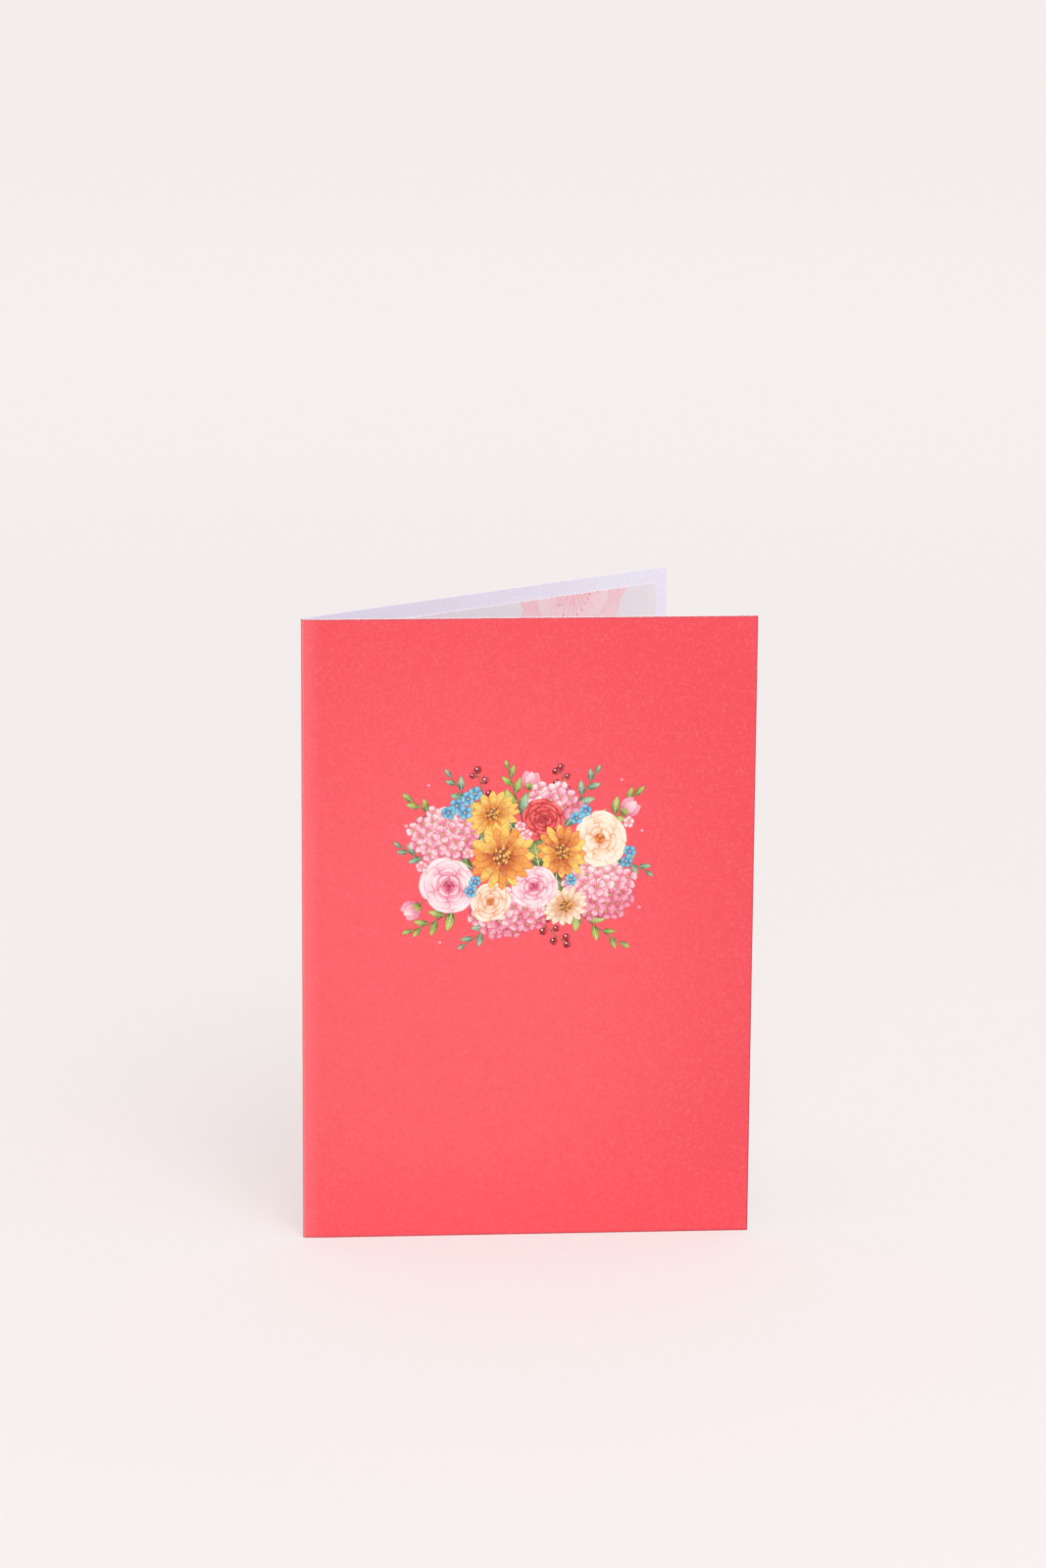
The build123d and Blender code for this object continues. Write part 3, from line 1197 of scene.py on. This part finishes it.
def ink_film(name, marks, to_card, cutters=()):
    """The marks as one closed film of ink. to_card gives the place of a page point and its lift."""
    page, triangles, owners = patchwork(marks, cutters)
    page, triangles = fans_apart(page, triangles)
    walls, wall_corners = film_walls(triangles)
    count = len(page)
    points = [to_card(*point, INK_FILM) for point in page] + [to_card(*point, -INK_SINK) for point in page]
    under = [tuple(point + count for point in reversed(triangle)) for triangle in triangles]
    rim = [(second, first, first + count, second + count) for first, second in walls]
    mesh = bpy.data.meshes.new(name)
    mesh.from_pydata(points, [], triangles + under + rim)
    ends = wall_corners[:, [1, 0, 0, 1]].reshape(-1, 2)

    def each_corner(values):
        depth = values.shape[-1]
        shown, hidden = values.reshape(-1, depth), values[:, ::-1].reshape(-1, depth)
        return np.vstack([shown, hidden, values[ends[:, 0], ends[:, 1]]]).astype(np.float32).ravel()

    for label, values in mark_readings(page, triangles, owners, marks).items():
        kind, field = ("FLOAT_COLOR", "color") if values.shape[-1] == 4 else ("FLOAT_VECTOR", "vector")
        mesh.attributes.new(label, kind, "CORNER").data.foreach_set(field, each_corner(values))
    places = each_corner(bake_places(np.array(page)[np.array(triangles)]))
    hidden = slice(6 * len(triangles), 12 * len(triangles))
    places[hidden] = (places[hidden].reshape(-1, 2) * UNDERSIDE_SCALE + UNDERSIDE_PLACE).ravel()
    mesh.uv_layers.new(name="OFBake").data.foreach_set("uv", places)
    mesh.materials.append(flower_ink())
    return linked(name, mesh)


def bake_places(corners):
    """Triangle corners on the texture map: the page takes its width, with room left above it."""
    low, high = corners.min((0, 1)), corners.max((0, 1))
    span = max(high[0] - low[0], (high[1] - low[1]) * PAGE_ROOM) * PAGE_SPARE
    return (corners - low) / span + PAGE_RIM


# Watercolour, with noise and bands given as for the paper. ROOT_TO_TIP and STREAK_FADE are read
# along a mark, WET_LINE in millimetres from its rim, and the others in noise. Streaks run in lanes,
# and each mark has its own place in the noise, so that no two look alike
POOLS = (0.42, 3.0, 0.55)
BLOOMS = (1.3, 4.0, 0.6)
STREAKS = (1.0, 2.0, 0.5)
LANE_SCALES = (4.5, 0.9, 61.0)
MARKS_APART = (97.0, 41.0)
POOL_DRIFT = 0.9
WET_WANDER = 0.22
ROOT_TO_TIP = (0.12, 0.85)
STREAKED = (0.5, 0.66, 0.0, 0.5)
STREAK_FADE = (0.2, 1.0, 1.0, 0.25)
BLOOMED = (0.52, 0.74, 0.0, 0.5)
BLOOM_WHITE = 0.4
WET_LINE = (0.03, 0.24, 0.62, 0.0)
BARE_TOOTH = (0.45, 0.7, 0.0, 0.12)


def flower_ink():
    """Watercolour: wet edges, petal streaks, pale blooms and a little tooth of the paper."""
    look = Look("flower_ink")
    place = look.millimetres()
    height = paper_grain(look, place)
    along, across, rim = look.parts(look.attribute("brush"))
    seed, streaks, line = look.parts(look.attribute("habit"))
    root = look.attribute("root_ink", "Color")
    tip = look.attribute("tip_ink", "Color")
    apart = look.vector(*(look.math("MULTIPLY", seed, reach) for reach in MARKS_APART))
    own_place = look.shift(place, apart)
    pool = look.noise(own_place, *POOLS)
    bloom = look.noise(own_place, *BLOOMS)
    drift = look.math("MULTIPLY", look.math("SUBTRACT", pool, 0.5), POOL_DRIFT)
    colour = look.tint(root, tip, look.math("ADD", along, drift), ROOT_TO_TIP)
    lanes = look.vector(
        *(look.math("MULTIPLY", *pair) for pair in zip((across, along, seed), LANE_SCALES))
    )
    streak = look.ease(look.noise(lanes, *STREAKS), *STREAKED)
    streak = look.math("MULTIPLY", streak, look.ease(along, *STREAK_FADE))
    colour = look.mix(look.math("MULTIPLY", streak, streaks), colour, root)
    pale = look.mix(BLOOM_WHITE, tip, PAPER_WHITE)
    colour = look.tint(colour, pale, bloom, BLOOMED)
    wander = look.math("MULTIPLY", look.math("SUBTRACT", bloom, 0.5), WET_WANDER)
    wet = look.ease(look.math("ADD", rim, wander), *WET_LINE)
    edge = look.math("MULTIPLY", wet, line)
    colour = look.mix(edge, colour, look.mix(1.0, root, LINE_TINT, "MULTIPLY"))
    colour = look.tint(colour, PAPER_WHITE, height, BARE_TOOTH)
    return look.surface(colour, roughness=0.6, specular=0.3)


# The stage, the light and the camera

WALL = ink(243, 237, 235)
FLOOR = ink(247, 241, 240)
FLOOR_RADIUS = 12.0

# How the floor turns into the backdrop with distance: in colour, and in how much is shown unlit
FLOOR_TO_WALL = (0.8, 2.5)
LIT_TO_SHOWN = (0.25, 1.6, 0.55, 1.0)

WORLD_LIGHT = (1.0, 0.99, 0.985, 1.0)
WORLD_STRENGTH = 0.74
LAMP_PLACE = Vector((0.35, -1.5, 1.75))
LAMP_TARGET = Vector((0, 0, 0.09))
LAMP_SIZE = 1.4
LAMP_POWER = 19.5

CAMERA_PLACE = (-103.05 * MM, -1358.9 * MM, 459.0 * MM)
CAMERA_HEADING = math.radians(-4.370)
CAMERA_DIP = math.radians(14.087)
CAMERA_ROLL = math.radians(0.397)
CAMERA_LENS = 119.49
SENSOR_LONG_SIDE = 36.0


def studio_floor():
    """A pale floor that keeps the card's shadow and fades into the backdrop far away."""
    look = Look("studio_floor")
    look.surface(FLOOR, roughness=0.7, specular=0.1)
    distance = look.length(look.add("ShaderNodeTexCoord", output="Object"))
    colour = look.tint(FLOOR, WALL, distance, FLOOR_TO_WALL)
    glow = look.add("ShaderNodeEmission", {"Color": colour, "Strength": 1.0})
    share = look.math("MULTIPLY", look.ease(distance, *LIT_TO_SHOWN), look.seen_directly())
    look.end_in("Material Output", share, look.shader.outputs["BSDF"], glow)
    bpy.ops.mesh.primitive_circle_add(vertices=96, radius=FLOOR_RADIUS, fill_type="NGON")
    floor = bpy.context.object
    floor.name = "studio_floor"
    floor.data.materials.append(look.material)


def studio_world():
    """Even light from all round, behind a plain backdrop."""
    world = bpy.data.worlds.new("studio_world")
    bpy.context.scene.world = world
    tree = Tree(world)
    light = tree.nodes["Background"]
    light.inputs["Color"].default_value = WORLD_LIGHT
    light.inputs["Strength"].default_value = WORLD_STRENGTH
    wall = tree.add("ShaderNodeBackground", {"Color": WALL, "Strength": 1.0})
    tree.end_in("World Output", tree.seen_directly(), light.outputs["Background"], wall)


def front_softbox():
    """One large soft lamp, high in front of the card."""
    lamp = bpy.data.lights.new("front_softbox", "AREA")
    lamp.shape = "DISK"
    lamp.size = LAMP_SIZE
    lamp.energy = LAMP_POWER
    holder = linked("front_softbox", lamp)
    holder.location = LAMP_PLACE
    holder.rotation_euler = (LAMP_TARGET - LAMP_PLACE).to_track_quat("-Z", "Y").to_euler()


def photo_camera():
    camera = bpy.data.cameras.new("photo_camera")
    camera.lens = CAMERA_LENS
    camera.sensor_width = SENSOR_LONG_SIDE
    camera.clip_start = 0.01
    camera.clip_end = 50
    holder = linked("photo_camera", camera)
    heading = Matrix.Rotation(CAMERA_HEADING, 4, "Z")
    tilt = Matrix.Rotation(math.pi / 2 - CAMERA_DIP, 4, "X")
    roll = Matrix.Rotation(CAMERA_ROLL, 4, "Z")
    holder.matrix_world = Matrix.Translation(CAMERA_PLACE) @ heading @ tilt @ roll
    bpy.context.scene.camera = holder


# The card's pieces


def dress(piece, slot, *nodes):
    """Every piece rides on the card's one body."""
    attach(piece, "root")
    if nodes:
        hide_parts(*nodes)


def card_sheets():
    cover = FoldedSheet(0.0, COVER_THICKNESS, 0.0, COVER_LOW.z, COVER_HIGH.z)
    cover_cut = cut_edge("cover_cut", BOARD_CORE, BOARD_WHITE)
    dress(cover.build("cover_sheet", [coral_ink(), bare_board(), cover_cut]), "cover_board", "card_cover")
    insert = FoldedSheet(COVER_THICKNESS, INSERT_THICKNESS, SIDE_MARGIN, INSERT_LOW.z, INSERT_HIGH.z)
    paper = insert_paper()
    insert_cut = cut_edge("insert_cut", INSERT_CORE, INSERT_WHITE)
    dress(insert.build("insert_sheet", [paper, paper, insert_cut]), "insert_paper", "paper_insert")


def on_front(x, z, lift):
    """A point of the front picture's page, laid on the front panel's outside."""
    return (COVER_LOW.x + (FRONT_PICTURE_ACROSS + x) * MM, COVER_LOW.y - lift, (FRONT_PICTURE_UP + z) * MM)


def on_back_page(x, z, lift):
    """A point of the inside picture's page, laid on the insert's back page."""
    along = turned(OPENING_ANGLE, (INSIDE_PICTURE_ALONG + x) * MM)
    face_reach = PANEL_FACE_REACH - COVER_THICKNESS - INSERT_THICKNESS - lift
    place = CREASE_AXIS + along + turned(OPENING_ANGLE + math.pi / 2, face_reach)
    return (place.x, place.y, INSERT_HIGH.z + (z - INSIDE_PICTURE_DOWN) * MM)


def beyond_the_insert():
    """A mark over all of the inside picture that would lie past the insert's top edge."""
    to_edge = moved(0, INSIDE_PICTURE_DOWN - EDGE_GAP) @ stretched(PAGE_REACH, PAGE_REACH)
    return Mark(to_edge, [(-1, 0), (1, 0), (1, 1), (-1, 1)], WASH_PALE)


def card_prints():
    front = ink_film("front_flowers", front_marks(), on_front)
    dress(front, "flower_print")
    inside = ink_film("inside_blossom", inside_marks(), on_back_page, [beyond_the_insert()])
    dress(inside, "flower_print")


photo_camera()
studio_world()
studio_floor()
front_softbox()
card_sheets()
card_prints()
bpy.context.scene.view_settings.view_transform = "Standard"
